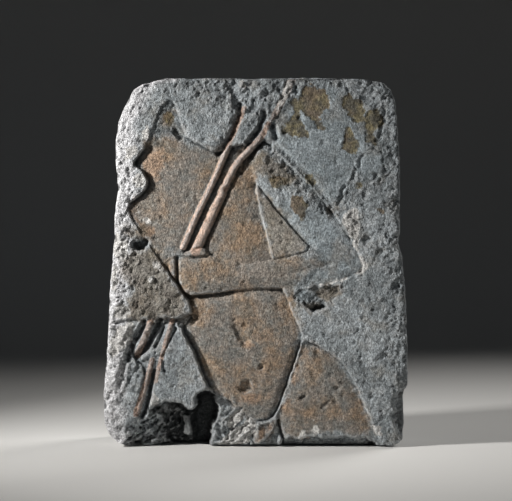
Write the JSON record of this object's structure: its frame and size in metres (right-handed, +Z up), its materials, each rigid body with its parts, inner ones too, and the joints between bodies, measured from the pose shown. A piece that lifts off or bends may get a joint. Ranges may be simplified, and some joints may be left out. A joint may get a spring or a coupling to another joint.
{
  "type": "stone relief panel",
  "caption": "Limestone block from a wall, carved in sunk relief with a body and bent arm holding two slanting rods, with one broken corner.",
  "frame": {"origin": "middle of the underside, on which the block stands", "axes": "+Z up, +X to the viewer's right, and the carved face looks along -Y"},
  "size_m": [0.1904, 0.06, 0.23],
  "materials": {
    "limestone": "weathered, dusty limestone with remains of ochre paint"
  },
  "bodies": {
    "root": {"relief_panel": "limestone"}
  },
  "joints": []
}
